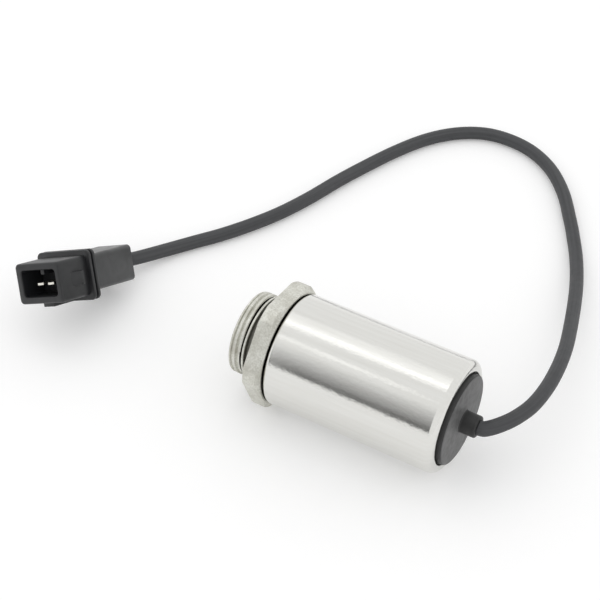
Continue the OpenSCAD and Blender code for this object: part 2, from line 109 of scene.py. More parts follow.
def new_material(name):
    """An empty material and its node tree."""
    material = bpy.data.materials.new(name)
    material.use_nodes = True
    material.node_tree.nodes.clear()
    return material, material.node_tree


print("a mid grey, 808080, is", round(colour("808080")[0], 3), "in linear light")

# %% [markdown]
# ## The camera
#
# The photograph was taken from above and from the lead's side, with a long lens that hardly makes the
# far end smaller. The camera is made first, because the lead has to stay in its view.

# %% Place the camera
camera_place = Vector((164.4, -325.6, 423.2)) * MM
camera_tilt, camera_turn = math.radians(45), math.radians(30.06)
camera_data = bpy.data.cameras.new("studio_camera")
camera_data.sensor_width = 36
camera_data.lens = 96
camera_data.clip_start = 0.01
camera = bpy.data.objects.new("studio_camera", camera_data)
camera.location = camera_place
camera.rotation_euler = (camera_tilt, 0, camera_turn)
bpy.context.scene.collection.objects.link(camera)
bpy.context.scene.camera = camera
print("camera at", tuple(round(v, 3) for v in camera.location), "lens", camera_data.lens, "mm")

# %% [markdown]
# ## Where things are
#
# The same stations as in the drawing: distances from the nose's end along the axis, and radii from it.
# Each piece below is placed from these, so it sits exactly where its solid does.

# %% Stations and radii, in millimetres
axis_height = 21.697
nose_end = -43.9
hexagon_front, hexagon_rear, can_front, spigot_end = 10.0, 16.2, 16.6, 18.6
cap_front, lip, can_rear, disc_face, boss_end = 69.2, 78.3, 80.3, 81.9, 87.8
thread_radius, relief_radius, recess_radius, bore_radius = 15.0, 13.0, 10.5, 8.5
across_flats, corner_radius, hexagon_turn = 41.0, 22.371, 9.5
ring_seat, ring_seat_radius = 0.4, 15.418
spigot_radius = 14.3
can_radius, can_inside, lip_radius = 20.3, 18.3, 16.7
disc_radius, boss_radius, lead_radius = 16.1, 3.9, 2.6
print("the part is", boss_end, "mm long and", 2 * can_radius, "mm across the can")

# %% [markdown]
# ## Making meshes
#
# Most of this part was turned or drawn, so its pieces are profiles spun round one axis. A real corner
# is never perfectly sharp: it has a small radius that catches the light. `rounded` puts an arc on each
# corner that asks for one, and `spin` turns the profile. `loft` lays a skin over a row of rings, for
# what isn't turned. `build` makes the object and keeps edges sharp only where faces meet at a clear
# angle.

# %% Mesh helpers


def build(name, points, faces, sharp_degrees=30.0):
    """Makes a mesh object from points in metres and shades it smooth between its sharp edges."""
    mesh = bpy.data.meshes.new(name)
    mesh.from_pydata([tuple(p) for p in points], [], faces)
    work = bmesh.new()
    work.from_mesh(mesh)
    bmesh.ops.remove_doubles(work, verts=work.verts, dist=0.002 * MM)
    bmesh.ops.dissolve_degenerate(work, edges=work.edges, dist=0.002 * MM)
    bmesh.ops.recalc_face_normals(work, faces=work.faces)
    work.to_mesh(mesh)
    work.free()
    mesh.shade_smooth()
    mesh.set_sharp_from_angle(angle=math.radians(sharp_degrees))
    piece = bpy.data.objects.new(name, mesh)
    bpy.context.scene.collection.objects.link(piece)
    print(name, "has", len(mesh.polygons), "faces")
    return piece


def rounded(corners, steps=6, closed=True):
    """Puts an arc on each corner (u, v, radius) of an outline. One without a radius stays sharp."""
    outline = []
    count = len(corners)
    for i, corner in enumerate(corners):
        here = np.array(corner[:2], float)
        radius = corner[2] if len(corner) > 2 else 0.0
        if radius == 0.0 or (not closed and i in (0, count - 1)):
            outline.append(here)
            continue
        back = np.array(corners[i - 1][:2], float) - here
        ahead = np.array(corners[(i + 1) % count][:2], float) - here
        back, ahead = back / np.linalg.norm(back), ahead / np.linalg.norm(ahead)
        half = math.acos(np.clip(back @ ahead, -1, 1)) / 2
        middle = here + (back + ahead) / np.linalg.norm(back + ahead) * radius / math.sin(half)
        start = here + back * radius / math.tan(half) - middle
        end = here + ahead * radius / math.tan(half) - middle
        sweep = math.acos(np.clip(start @ end / radius**2, -1, 1))
        for k in range(steps + 1):
            t = k / steps
            arm = (math.sin((1 - t) * sweep) * start + math.sin(t * sweep) * end) / math.sin(sweep)
            outline.append(middle + arm)
    return outline


def on_axis(station, radius, angle):
    """The point at a station and a radius. The angle starts straight down and grows towards +Y."""
    return (
        (nose_end + station) * MM,
        radius * math.sin(angle) * MM,
        (axis_height - radius * math.cos(angle)) * MM,
    )


def spin(profile, segments=256, closed=True, cut=None):
    """Points and faces of a (station, radius) profile spun round the axis. `cut` may lower a radius."""
    rows = len(profile)
    angles = [2 * math.pi * k / segments for k in range(segments)]
    points = [on_axis(s, cut(angle, r) if cut else r, angle) for angle in angles for s, r in profile]
    faces = [
        (k * rows + i, k * rows + (i + 1) % rows, n * rows + (i + 1) % rows, n * rows + i)
        for k in range(segments)
        for n in [(k + 1) % segments]
        for i in range(rows if closed else rows - 1)
    ]
    return points, faces


def loft(rings):
    """Points and faces of a closed skin over rings that have the same number of points."""
    count = len(rings[0])
    points = [p for ring in rings for p in ring]
    faces = [
        (i * count + k, i * count + n, (i + 1) * count + n, (i + 1) * count + k)
        for i in range(len(rings) - 1)
        for k in range(count)
        for n in [(k + 1) % count]
    ]
    faces += [tuple(range(count)), tuple((len(rings) - 1) * count + k for k in range(count))]
    return points, faces


def join(parts):
    """Joins several (points, faces) into one."""
    points, faces = [], []
    for more_points, more_faces in parts:
        faces += [tuple(i + len(points) for i in face) for face in more_faces]
        points += list(more_points)
    return points, faces


# %% [markdown]
# ## The lead
#
# A two-core lead with one round sheath, about 380 mm long. It comes straight out of the cap's boss,
# turns at once, sinks to the table in a long curve and runs round to the connector. The route goes
# through the drawing's own points. A Catmull-Rom curve passes through every point it is given, so the
# lead lies where its solid does, and a ring of points is swept along it.

# %% Lay out the lead


def smooth_route(route, steps):
    """Points on a Catmull-Rom curve through the route."""
    ends = [route[0], *route, route[-1]]
    made = []
    for a, b, c, d in zip(ends, ends[1:], ends[2:], ends[3:]):
        for k in range(steps):
            t = k / steps
            bend, twist = 2 * a - 5 * b + 4 * c - d, 3 * b - a - 3 * c + d
            made.append(0.5 * (2 * b + (c - a) * t + bend * t**2 + twist * t**3))
    return np.array(made + [route[-1]])


connector_zero = np.array([-116.6, -9.0, 20.479])
yaw, pitch, roll = (math.radians(a) for a in (-8.3, -25.5, -28.8))
level = math.cos(pitch)
connector_back = np.array([-math.sin(yaw) * level, math.cos(yaw) * level, math.sin(pitch)])
connector_rear = 27.8
lead_exit = np.array([nose_end + boss_end, 0, axis_height])
lead_end = connector_zero + connector_rear * connector_back
first_points = [[2, 0.3, 0.2], [5.5, 3.3, 1], [9.1, 9.1, 1.3], [11.6, 18.4, 0.5]]
floor_points = [
    [55.6, 32.6, 19.8], [53.1, 50.5, 15.8], [48.3, 69.2, 11.2], [41.4, 91.4, 6.4], [34.4, 108.8, 3.6],
    [27.7, 121.7, 2.6], [21.8, 131.6, 2.6], [14.3, 143.1, 2.6], [4.4, 153.7, 2.6], [-6.7, 160.3, 2.6],
    [-18, 162.6, 2.6], [-29, 161.2, 2.6], [-39.5, 155.1, 2.6], [-48.4, 145.2, 2.6], [-55.8, 131.9, 2.6],
    [-62, 117.4, 2.6], [-66.9, 104.6, 2.6], [-71.8, 89.8, 2.6], [-77.3, 76.4, 2.6], [-83.8, 64.5, 2.6],
    [-90.9, 53.7, 2.6], [-98.4, 44, 2.6], [-104.6, 34.5, 3.4], [-109.6, 25.4, 5],
]  # fmt: skip
route = [lead_exit, *[lead_exit + np.array(p) for p in first_points], *np.array(floor_points, float)]
route += [lead_end + 4 * connector_back, lead_end]
centreline = smooth_route(route, 6)
centreline[:, 2] = np.maximum(centreline[:, 2], lead_radius)

# %% Sweep the sheath along it


def sweep(centre, radius, sides, start, end):
    """A closed tube along the points, with its length and its turn kept as a UV map in metres."""
    last = len(centre) - 1
    up = np.array([0.0, 0.0, 1.0])
    points, along = [], [0.0]
    for a, b in zip(centre, centre[1:]):
        along.append(along[-1] + float(np.linalg.norm(b - a)))
    for i in range(last + 1):
        heading = start if i == 0 else end if i == last else centre[i + 1] - centre[i - 1]
        heading = heading / np.linalg.norm(heading)
        side = np.cross(heading, up)
        side /= np.linalg.norm(side)
        top = np.cross(side, heading)
        for k in range(sides):
            turn = 2 * math.pi * k / sides
            points.append((centre[i] + radius * (math.cos(turn) * side + math.sin(turn) * top)) * MM)
    faces, places = [], []
    for i in range(last):
        for k in range(sides):
            n = (k + 1) % sides
            faces.append((i * sides + k, i * sides + n, (i + 1) * sides + n, (i + 1) * sides + k))
            u0, u1 = along[i] * MM, along[i + 1] * MM
            v0, v1 = k / sides * 2 * math.pi * radius * MM, (k + 1) / sides * 2 * math.pi * radius * MM
            places.append([(u0, v0), (u0, v1), (u1, v1), (u1, v0)])
    faces += [tuple(reversed(range(sides))), tuple(range(last * sides, (last + 1) * sides))]
    places += [[(0.0, 0.0)] * sides] * 2
    return points, faces, places


points, faces, places = sweep(centreline, lead_radius, 28, np.array([1.0, 0, 0]), -connector_back)
sheath_mesh = bpy.data.meshes.new("lead_sheath")
sheath_mesh.from_pydata([tuple(p) for p in points], [], faces)
sheath_uv = sheath_mesh.uv_layers.new(name="along_and_round")
sheath_uv.data.foreach_set("uv", [v for place in places for corner in place for v in corner])
sheath_mesh.shade_smooth()
lead_sheath = bpy.data.objects.new("lead_sheath", sheath_mesh)
bpy.context.scene.collection.objects.link(lead_sheath)
print("lead_sheath has", len(faces), "faces")

# %% [markdown]
# ## The can
#
# The can is deep-drawn from sheet steel and then plated. Its front corner has the radius of the
# drawing tool, and its rear edge was rolled over the cap. Both are arcs in one profile.

# %% Spin the can
can_profile = rounded(
    [
        (can_front, spigot_radius),
        (can_front, can_radius, 1.3),
        (can_rear, can_radius, 2.8),
        (can_rear, lip_radius, 0.5),
        (lip, lip_radius),
        (lip, can_inside),
        (spigot_end, can_inside),
        (spigot_end, spigot_radius),
    ],
    steps=10,
)
drawn_can = build("drawn_can", *spin(can_profile, 320))

# %% [markdown]
# ## The threaded fitting
#
# One turned steel piece. The body is a spun profile: a front land, the thread, a narrow groove, a
# flange, the relief with a seat for the sealing ring, and behind the hexagon a slot against the can.
# The hexagon was milled from round bar that was a little too small for it, so its corners are short
# pieces of the bar's own cylinder, and its rear edge has a wide turned chamfer. At each angle the
# hexagon's radius is the smaller of its flat's and its chamfer's.

# %% Turn the body
thread_pitch, thread_depth = 1.9, 0.65
root_radius = thread_radius - thread_depth
first_thread, last_thread = 0.7, 4.3
groove_front, groove_rear = last_thread + 0.05, 5.0
flange_front, flange_rear = groove_rear + 0.1, 5.85
land_radius = thread_radius - 0.1
recess_floor, slot_front, slot_radius = 4.5, hexagon_rear - 0.2, 17.4
body_profile = rounded(
    [
        (recess_floor, bore_radius),
        (recess_floor, recess_radius, 0.3),
        (0.0, recess_radius, 0.5),
        (0.0, land_radius, 0.45),
        (first_thread, land_radius, 0.1),
        (first_thread + 0.3, root_radius),
        (last_thread, root_radius),
        (groove_front, relief_radius),
        (groove_rear, relief_radius),
        (flange_front, land_radius, 0.15),
        (flange_rear, land_radius, 0.15),
        (flange_rear + 0.15, relief_radius),
        (hexagon_front + ring_seat, relief_radius),
        (hexagon_front + ring_seat, ring_seat_radius),
        (slot_front, ring_seat_radius),
        (slot_front, slot_radius),
        (can_front, slot_radius),
        (can_front, spigot_radius),
        (spigot_end, spigot_radius),
        (spigot_end, bore_radius),
    ],
    steps=4,
)
body_mesh = spin(body_profile, 256)
print("the fitting's body has", len(body_profile), "points in its profile")

# %% Mill the hexagon


def milled(angle, turned_radius):
    """The hexagon's radius at an angle, where a turned surface cuts its corners."""
    from_flat = (math.degrees(angle) + hexagon_turn + 30) % 60 - 30
    return min(across_flats / 2 / math.cos(math.radians(from_flat)), turned_radius)


front_chamfer, rear_chamfer, rear_drop = 0.4, 1.2, 1.9
front_steps, chamfer_steps = 3, 9
sections = [(hexagon_front + ring_seat, ring_seat_radius), (hexagon_front, ring_seat_radius)]
for k in range(front_steps + 1):
    t = k / front_steps
    sections.append((hexagon_front + front_chamfer * t, corner_radius - front_chamfer * (1 - t)))
for k in range(chamfer_steps + 1):
    t = k / chamfer_steps
    sections.append((hexagon_rear - rear_chamfer * (1 - t), corner_radius - rear_drop * t))
sections.append((hexagon_rear, slot_radius))
hexagon_mesh = spin(sections, 720, closed=False, cut=milled)
print("the hexagon is", across_flats, "mm across its flats and", 2 * corner_radius, "mm across its corners")

# %% [markdown]
# The thread is a fine one, just under 2 mm from turn to turn. A cutting tool leaves one ridge that
# climbs round the nose as a right-hand helix, so the ridge is swept as a band of four points: two at
# the root and two on the crest. It fades in and out where the tool came in and left.

# %% Cut the thread
crest, foot, sunk = 0.45, 0.9, 0.03
steps_a_turn, fade_steps = 120, 24
first_turn, last_turn = 0.75, 4.2
thread_steps = int((last_turn - first_turn) / thread_pitch * steps_a_turn)
thread_rings = []
for i in range(thread_steps + 1):
    middle = first_turn + thread_pitch * i / steps_a_turn
    rise = thread_depth * min(1.0, i / fade_steps, (thread_steps - i) / fade_steps)
    angle = 2 * math.pi * i / steps_a_turn
    ridge = ((-foot, -sunk), (-crest, rise), (crest, rise), (foot, -sunk))
    thread_rings.append([on_axis(middle + along, root_radius + up, angle) for along, up in ridge])
print("the thread has", round((last_turn - first_turn) / thread_pitch, 1), "turns")

# %% Join body, hexagon and thread
fitting_parts = join([body_mesh, hexagon_mesh, loft(thread_rings)])
threaded_fitting = build("threaded_fitting", *fitting_parts, sharp_degrees=14)

# %% [markdown]
# ## The sealing ring
#
# A rubber O-ring in the relief, pressed into its seat in the hexagon's front face. A spun ring with
# enough points is round from every side.

# %% Spin the sealing ring
ring_middle, ring_radius, ring_sides = 9.366, 1.034, 28
ring_profile = []
for k in range(ring_sides):
    turn = 2 * math.pi * k / ring_sides
    ring_profile.append(
        (ring_middle + ring_radius * math.cos(turn), relief_radius + ring_radius * (1 + math.sin(turn)))
    )
sealing_ring = build("sealing_ring", *spin(ring_profile, 192))

# %% [markdown]
# ## The end cap
#
# Moulded in glass-filled plastic: a disc that stands a little out of the rolled can, a hollow skirt
# that holds the seal inside it, and a boss round the lead. A moulding has a radius on every edge, and
# its disc's edge shows as a soft line of light.

# %% Spin the end cap
seal_front, seal_rear, seal_groove_radius = 74.3, 75.9, 16.7
cap_wall, cap_bore_radius = 76.0, 15.1
cap_profile = rounded(
    [
        (cap_wall, lead_radius),
        (boss_end, lead_radius, 0.25),
        (boss_end, boss_radius, 0.7),
        (disc_face, boss_radius, 0.8),
        (disc_face, disc_radius, 0.9),
        (lip, disc_radius),
        (lip, can_inside),
        (seal_rear, can_inside),
        (seal_rear, seal_groove_radius),
        (seal_front, seal_groove_radius),
        (seal_front, can_inside),
        (cap_front, can_inside),
        (cap_front, cap_bore_radius),
        (cap_wall, cap_bore_radius),
    ],
    steps=6,
)
moulded_cap = build("moulded_cap", *spin(cap_profile, 256))

# %% [markdown]
# ## The connector
#
# It is drawn in its own frame, flat and square, and then turned as it lies: its stiff lead holds its
# mouth up. Every part of it is a moulding with round corners, so each is a stack of round-cornered
# rectangles joined like a loft: growing in over the first tenths of a millimetre gives the edge radius.

# %% Connector helpers
turn_z = Matrix.Rotation(yaw, 4, "Z")
turn_x = Matrix.Rotation(pitch, 4, "X")
turn_y = Matrix.Rotation(roll, 4, "Y")
connector_place = Matrix.Translation(Vector(connector_zero) * MM) @ turn_z @ turn_x @ turn_y


def round_rectangle(width, height, radius, y, per_corner=8):
    """Points of a round-cornered rectangle across the connector, in millimetres."""
    points = []
    for quarter, (sx, sz) in enumerate(((1, 1), (-1, 1), (-1, -1), (1, -1))):
        for k in range(per_corner + 1):
            turn = math.pi / 2 * (quarter + k / per_corner)
            x = sx * (width / 2 - radius) + radius * math.cos(turn)
            z = sz * (height / 2 - radius) + radius * math.sin(turn)
            points.append((x, y, z))
    return points


def connector_piece(name, parts):
    """Joins parts that are drawn in the connector's frame and puts them where the connector lies."""
    points, faces = join(parts)
    return build(name, [connector_place @ (Vector(p) * MM) for p in points], faces, sharp_degrees=35.0)


# %% Mould the shroud with its collar and clip ramps
shroud_width, shroud_height, shroud_corner, mouth = 21.5, 14.7, 1.4, -14.0
opening_width, opening_height, opening_corner, socket_floor = 16.3, 9.5, 1.2, -3.0
shroud_rings = [
    round_rectangle(shroud_width, shroud_height, shroud_corner, 0.2),
    round_rectangle(shroud_width, shroud_height, shroud_corner, -0.4),
    round_rectangle(shroud_width, shroud_height, shroud_corner, mouth + 0.9),
    round_rectangle(shroud_width - 0.25, shroud_height - 0.25, shroud_corner, mouth + 0.45),
    round_rectangle(shroud_width - 0.7, shroud_height - 0.7, shroud_corner - 0.1, mouth + 0.15),
    round_rectangle(shroud_width - 1.5, shroud_height - 1.5, shroud_corner - 0.4, mouth),
    round_rectangle(opening_width + 0.6, opening_height + 0.6, opening_corner + 0.3, mouth),
    round_rectangle(opening_width + 0.1, opening_height + 0.1, opening_corner, mouth + 0.3),
    round_rectangle(opening_width, opening_height, opening_corner, mouth + 0.8),
    round_rectangle(opening_width, opening_height, opening_corner, socket_floor),
]


def flange(front, rear, width, height, corner, edge=0.3):
    """One flat plate of the collar, with its edges rounded."""
    return loft(
        [
            round_rectangle(width - 2 * edge, height - 2 * edge, corner - edge / 2, front),
            round_rectangle(width - edge * 0.6, height - edge * 0.6, corner, front + edge * 0.3),
            round_rectangle(width, height, corner, front + edge),
            round_rectangle(width, height, corner, rear - edge),
            round_rectangle(width - edge * 0.6, height - edge * 0.6, corner, rear - edge * 0.3),
            round_rectangle(width - 2 * edge, height - 2 * edge, corner - edge / 2, rear),
        ]
    )


collar_width, collar_height, collar_corner, collar_depth = 25.3, 18.3, 2.0, 3.4
front_flange = flange(0.0, 1.3, collar_width, collar_height, collar_corner)
groove_core = flange(1.2, 2.2, collar_width - 2, collar_height - 2, collar_corner - 0.4, 0.05)
rear_flange = flange(2.1, collar_depth, collar_width, collar_height, collar_corner)


def ramp(side):
    """A clip ramp on one narrow end of the shroud: a wedge with round shoulders."""
    half, rise, front, rear = 2.5, 1.9, -8.6, -3.6
    outline = [(front, 0.0), (-8.2, 0.15), (-5.8, 1.75), (-5.4, rise), (-3.9, rise), (rear, 0.0)]
    shoulders = ((half, 0.35), (half - 0.12, 0.12), (half - 0.4, 0.0))
    rings = []
    for z, inset in [(-z, inset) for z, inset in shoulders] + list(reversed(shoulders)):
        ring = [(side * (shroud_width / 2 + max(up - inset, -0.5)), y, z) for y, up in outline]
        ring += [(side * (shroud_width / 2 - 0.6), y, z) for y in (rear, front)]
        rings.append(ring)
    return loft(rings)


def rib(width, height, across, front, rear):
    """A straight rib along the connector with rounded edges and a rounded front."""
    edge = 0.25
    rings = [
        round_rectangle(width - 2 * edge, height - 2 * edge, 0.2, front),
        round_rectangle(width - 0.5 * edge, height - 0.5 * edge, 0.35, front + 0.4 * edge),
        round_rectangle(width, height, 0.4, front + edge),
        round_rectangle(width, height, 0.4, rear),
    ]
    return loft([[(x, y, z + across) for x, y, z in ring] for ring in rings])


# Both ribs start inside the wall that carries them. The key is outside, the guide is in the socket.
wall_bite, rear_bite = 0.8, 0.2
key_width, key_height, key_front = 5.4, 1.7, mouth + 3.3
key_middle = -(shroud_height + key_height - wall_bite) / 2
key_rib = rib(key_width, key_height + wall_bite, key_middle, key_front, rear_bite)
guide_width, guide_height, guide_front = 1.8, 2.0, mouth + 2.5
guide_middle = (opening_height - guide_height + wall_bite) / 2
guide_rib = rib(guide_width, guide_height + wall_bite, guide_middle, guide_front, socket_floor + rear_bite)
socket_shroud = connector_piece(
    "socket_shroud",
    [loft(shroud_rings), front_flange, groove_core, rear_flange, ramp(-1), ramp(1), key_rib, guide_rib],
)

# %% Mould the rear body
body_width, body_height, body_corner = 17.0, 13.4, 1.5
hole_radius = 4.4


def circle_ring(radius, y, like):
    """A circle with one point for each point of another ring, at the same bearing."""
    ring = []
    for x, _, z in like:
        reach = math.hypot(x, z)
        ring.append((radius * x / reach, y, radius * z / reach))
    return ring


outer = round_rectangle(body_width - 0.8, body_height - 0.8, body_corner - 0.2, connector_rear)
body_rings = [
    round_rectangle(body_width, body_height, body_corner, collar_depth),
    round_rectangle(body_width, body_height, body_corner, connector_rear - 0.45),
    round_rectangle(body_width - 0.26, body_height - 0.26, body_corner, connector_rear - 0.12),
    outer,
    circle_ring(hole_radius, connector_rear, outer),
    circle_ring(hole_radius, connector_rear - 4.0, outer),
]
connector_body = connector_piece("connector_body", [loft(body_rings)])

# %% [markdown]
# ## The return spring
#
# Round wire wound on a mandrel, with a turn laid flat at each end. It lies between a pocket in the pole
# and one in the armature, so its length and its width are read from its solid. When the armature comes
# forward, the real spring gets shorter by the stroke, towards the end that rests in the pole; here it is
# wound at its length at rest.

# %% Wind the spring
wire_radius, turns, steps_a_coil, wire_sides = 0.4, 7, 48, 12
spring_low, spring_high = (Vector(corner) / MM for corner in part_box("return_spring"))
coil_radius = (spring_high.y - spring_low.y) / 2 - wire_radius
coil_start = spring_low.x - nose_end + wire_radius
spring_length = spring_high.x - spring_low.x
coil_length = spring_length - 2 * wire_radius
closed_rise = 2 * wire_radius + 0.04
open_rise = (coil_length - 2 * closed_rise) / (turns - 2)
round_wire = [2 * math.pi * k / wire_sides for k in range(wire_sides)]
wire_rings = []
for i in range(turns * steps_a_coil + 1):
    turn = i / steps_a_coil
    before, after = min(turn, 1), max(turn - (turns - 1), 0)
    station = coil_start + (before + after) * closed_rise + (turn - before - after) * open_rise
    angle = 2 * math.pi * turn + math.pi / 2
    wire_rings.append(
        [
            on_axis(station + wire_radius * math.sin(a), coil_radius + wire_radius * math.cos(a), angle)
            for a in round_wire
        ]
    )
coiled_spring = build("coiled_spring", *loft(wire_rings), sharp_degrees=60)
print("the spring is", round(spring_length, 2), "mm long at rest")

# %% [markdown]
# ## What moves with what
#
# The solenoid has one moving part, the push pin with its armature. Everything that was made above is
# fixed to the housing. The loop hides the solid that each new piece stands for and prints the pair.

# %% Ride and replace
for piece, node, finish in (
    (lead_sheath, "lead_cord", "lead_jacket"),
    (drawn_can, "can", "plated_can"),
    (threaded_fitting, "nose_fitting", "plated_steel"),
    (sealing_ring, "nose_ring", "black_rubber"),
    (moulded_cap, "end_cap", "cap_plastic"),
    (socket_shroud, "connector_shell", "connector_plastic"),
    (connector_body, "connector_rear_body", "connector_rear"),
    (coiled_spring, "return_spring", "spring_steel"),
):
    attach(piece, "housing")
    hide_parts(node)
    print(piece.name, "stands for", node)

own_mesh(coiled_spring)

# %% [markdown]
# ## Plated drawn steel
#
# The can is bright but not a mirror. Drawing pulled its surface along its length, which leaves faint
# lengthwise streaks, and the plating on top of it has a fine grain. The eye gets crisp bands of
# reflection whose edges are a little ragged. Zinc-nickel plating is a touch warmer than chrome.

# %% Material for the can


def plated_drawn_steel():
    material, tree = new_material("plated_drawn_steel")
    place = add(tree, "ShaderNodeTexCoord").outputs["Object"]
    streak_width, grain, ripple = 0.35 * MM, 0.6 * MM, 3.0 * MM
    stretched = add(tree, "ShaderNodeMapping", {"Vector": place, "Scale": (0.05, 1.0, 1.0)}).outputs[0]
    streaks = add(
        tree,
        "ShaderNodeTexNoise",
        {"Vector": stretched, "Scale": 1 / streak_width / 4, "Detail": 5.0, "Roughness": 0.6},
    ).outputs["Fac"]
    grains = add(
        tree,
        "ShaderNodeTexNoise",
        {"Vector": place, "Scale": 1 / grain / 2, "Detail": 4.0, "Roughness": 0.6},
    ).outputs["Fac"]
    long_ripple = add(tree, "ShaderNodeMapping", {"Vector": place, "Scale": (0.35, 1.0, 1.0)}).outputs[0]
    ripples = add(
        tree, "ShaderNodeTexNoise", {"Vector": long_ripple, "Scale": 1 / ripple / 2, "Detail": 3.0}
    ).outputs["Fac"]
    clouds = add(
        tree, "ShaderNodeTexNoise", {"Vector": place, "Scale": 1 / (14 * MM), "Detail": 4.0}
    ).outputs["Fac"]
    tone = add(
        tree, "ShaderNodeMix", {0: streaks, 6: colour("D6D5D0"), 7: colour("E3E3E0")}, data_type="RGBA"
    ).outputs[2]
    rough = add(
        tree,
        "ShaderNodeMapRange",
        {"Value": clouds, "From Min": 0.3, "From Max": 0.7, "To Min": 0.09, "To Max": 0.15},
    ).outputs[0]
    wavy = add(
        tree, "ShaderNodeBump", {"Height": ripples, "Strength": 0.5, "Distance": 0.04 * MM}
    ).outputs[0]
    drawn = add(
        tree,
        "ShaderNodeBump",
        {"Height": streaks, "Strength": 0.25, "Distance": 0.02 * MM, "Normal": wavy},
    ).outputs[0]
    fine = add(
        tree,
        "ShaderNodeBump",
        {"Height": grains, "Strength": 0.6, "Distance": 0.075 * MM, "Normal": drawn},
    ).outputs[0]
    shader = add(
        tree,
        "ShaderNodeBsdfPrincipled",
        {"Base Color": tone, "Metallic": 1.0, "Roughness": rough, "Normal": fine},
    )
    add(tree, "ShaderNodeOutputMaterial", {"Surface": shader.outputs[0]})
    return material


can_finish = plated_drawn_steel()
print("made", can_finish.name)

# %% [markdown]
# ## Turned metal
#
# A lathe tool leaves fine grooves that run round the axis. On a cylinder they are rings along its
# length, and on a face they are circles, so the pattern is read from the distance along the axis and
# the distance from it. The same function makes the plated fitting, the soft iron parts, the ground pin
# and the bronze bushes: only the colour, the roughness and the spacing of the grooves change. Painted
# shade darkens the fitting's groove, its relief and the slot behind its hexagon.

# %% Material for turned metal


def turned_metal(name, light, dark, roughness, groove, depth=0.3, speck=0.6, painted_shade=()):
    """A turned metal in two tones. The last argument lists rings of painted shade: two stations, an outer
    radius and a colour.
    """
    material, tree = new_material(name)
    place = add(tree, "ShaderNodeTexCoord").outputs["Object"]
    centred = add(
        tree, "ShaderNodeVectorMath", {0: place, 1: (0.0, 0.0, axis_height * MM)}, operation="SUBTRACT"
    ).outputs[0]
    flat = add(
        tree, "ShaderNodeVectorMath", {0: centred, 1: (0.0, 1.0, 1.0)}, operation="MULTIPLY"
    ).outputs[0]
    radius = add(tree, "ShaderNodeVectorMath", {0: flat}, operation="LENGTH").outputs["Value"]
    split = add(tree, "ShaderNodeSeparateXYZ", {"Vector": centred}).outputs["X"]
    lathe = add(tree, "ShaderNodeCombineXYZ", {"X": split, "Y": radius}).outputs[0]
    grooves = add(
        tree, "ShaderNodeTexNoise", {"Vector": lathe, "Scale": 1 / groove / 2, "Detail": 2.0}
    ).outputs["Fac"]
    clouds = add(
        tree, "ShaderNodeTexNoise", {"Vector": place, "Scale": 1 / (5 * MM), "Detail": 5.0}
    ).outputs["Fac"]
    specks = add(
        tree, "ShaderNodeTexNoise", {"Vector": place, "Scale": 1 / (speck * MM), "Detail": 4.0}
    ).outputs["Fac"]
    both = add(tree, "ShaderNodeMath", {0: clouds, 1: specks}, operation="MULTIPLY").outputs[0]
    share = add(
        tree, "ShaderNodeMapRange", {"Value": both, "From Min": 0.16, "From Max": 0.36}
    ).outputs[0]
    tone = add(
        tree, "ShaderNodeMix", {0: share, 6: colour(dark), 7: colour(light)}, data_type="RGBA"
    ).outputs[2]
    # Each ring mixes its colour in below its outer radius: painted shade in the fitting's hollows.
    for front, rear, outer, shade_tone in painted_shade:
        middle, reach = nose_end + (front + rear) / 2, (rear - front) / 2
        here = add(
            tree, "ShaderNodeMath", {0: split, 1: middle * MM, 2: reach * MM}, operation="COMPARE"
        ).outputs[0]
        deep = add(tree, "ShaderNodeMath", {0: radius, 1: outer * MM}, operation="LESS_THAN").outputs[0]
        in_painted_shade = add(tree, "ShaderNodeMath", {0: deep, 1: here}, operation="MULTIPLY").outputs[0]
        tone = add(
            tree, "ShaderNodeMix", {0: in_painted_shade, 6: tone, 7: colour(shade_tone)}, data_type="RGBA"
        ).outputs[2]
    rough = add(
        tree,
        "ShaderNodeMapRange",
        {
            "Value": clouds, "From Min": 0.3, "From Max": 0.7,
            "To Min": roughness + 0.06, "To Max": roughness - 0.04,
        },
    ).outputs[0]
    bumps = add(
        tree, "ShaderNodeBump", {"Height": grooves, "Strength": depth, "Distance": 0.02 * MM}
    ).outputs[0]
    worn = add(
        tree,
        "ShaderNodeBump",
        {"Height": specks, "Strength": depth, "Distance": 0.02 * MM, "Normal": bumps},
    ).outputs[0]
    shader = add(
        tree,
        "ShaderNodeBsdfPrincipled",
        {"Base Color": tone, "Metallic": 1.0, "Roughness": rough, "Normal": worn},
    )
    add(tree, "ShaderNodeOutputMaterial", {"Surface": shader.outputs[0]})
    return material


# Painted shade: in the groove behind the thread, on the relief behind the flange and in the slot behind the
# hexagon.
painted_groove_shade = [
    (groove_front - 0.1, groove_rear + 0.05, thread_radius - 0.3, "2A2925"),
    (flange_rear + 0.05, hexagon_front, thread_radius - 0.2, "85847D"),
    (hexagon_rear - 0.3, can_front, can_radius - 0.4, "2A2925"),
]
fitting_finish = turned_metal("plated_turned_steel", "E0E0D9", "C7C6BD", 0.54, 0.25 * MM, painted_shade=painted_groove_shade)
iron_finish = turned_metal("soft_iron", "B4B3B0", "9C9B98", 0.38, 0.2 * MM)
pin_finish = turned_metal("ground_stainless_steel", "D8D8DA", "C6C6C8", 0.18, 0.06 * MM, 0.15)
bronze_finish = turned_metal("sintered_bronze", "B08A55", "8F6C3E", 0.42, 0.3 * MM, 0.3, 0.3)
brass_finish = turned_metal("stamped_brass", "D9BE78", "C2A660", 0.28, 0.5 * MM, 0.15)
tube_finish = turned_metal("deep_drawn_stainless_steel", "CFCFD0", "BDBDBE", 0.26, 0.1 * MM, 0.2)
spring_finish = turned_metal("spring_steel_wire", "8B8C90", "76777B", 0.30, 0.3 * MM, 0.15)
tin_finish = turned_metal("tin_plated_copper_alloy", "EDEBE2", "DAD8CE", 0.24, 0.4 * MM, 0.1)
print("made eight turned, ground and stamped metals")

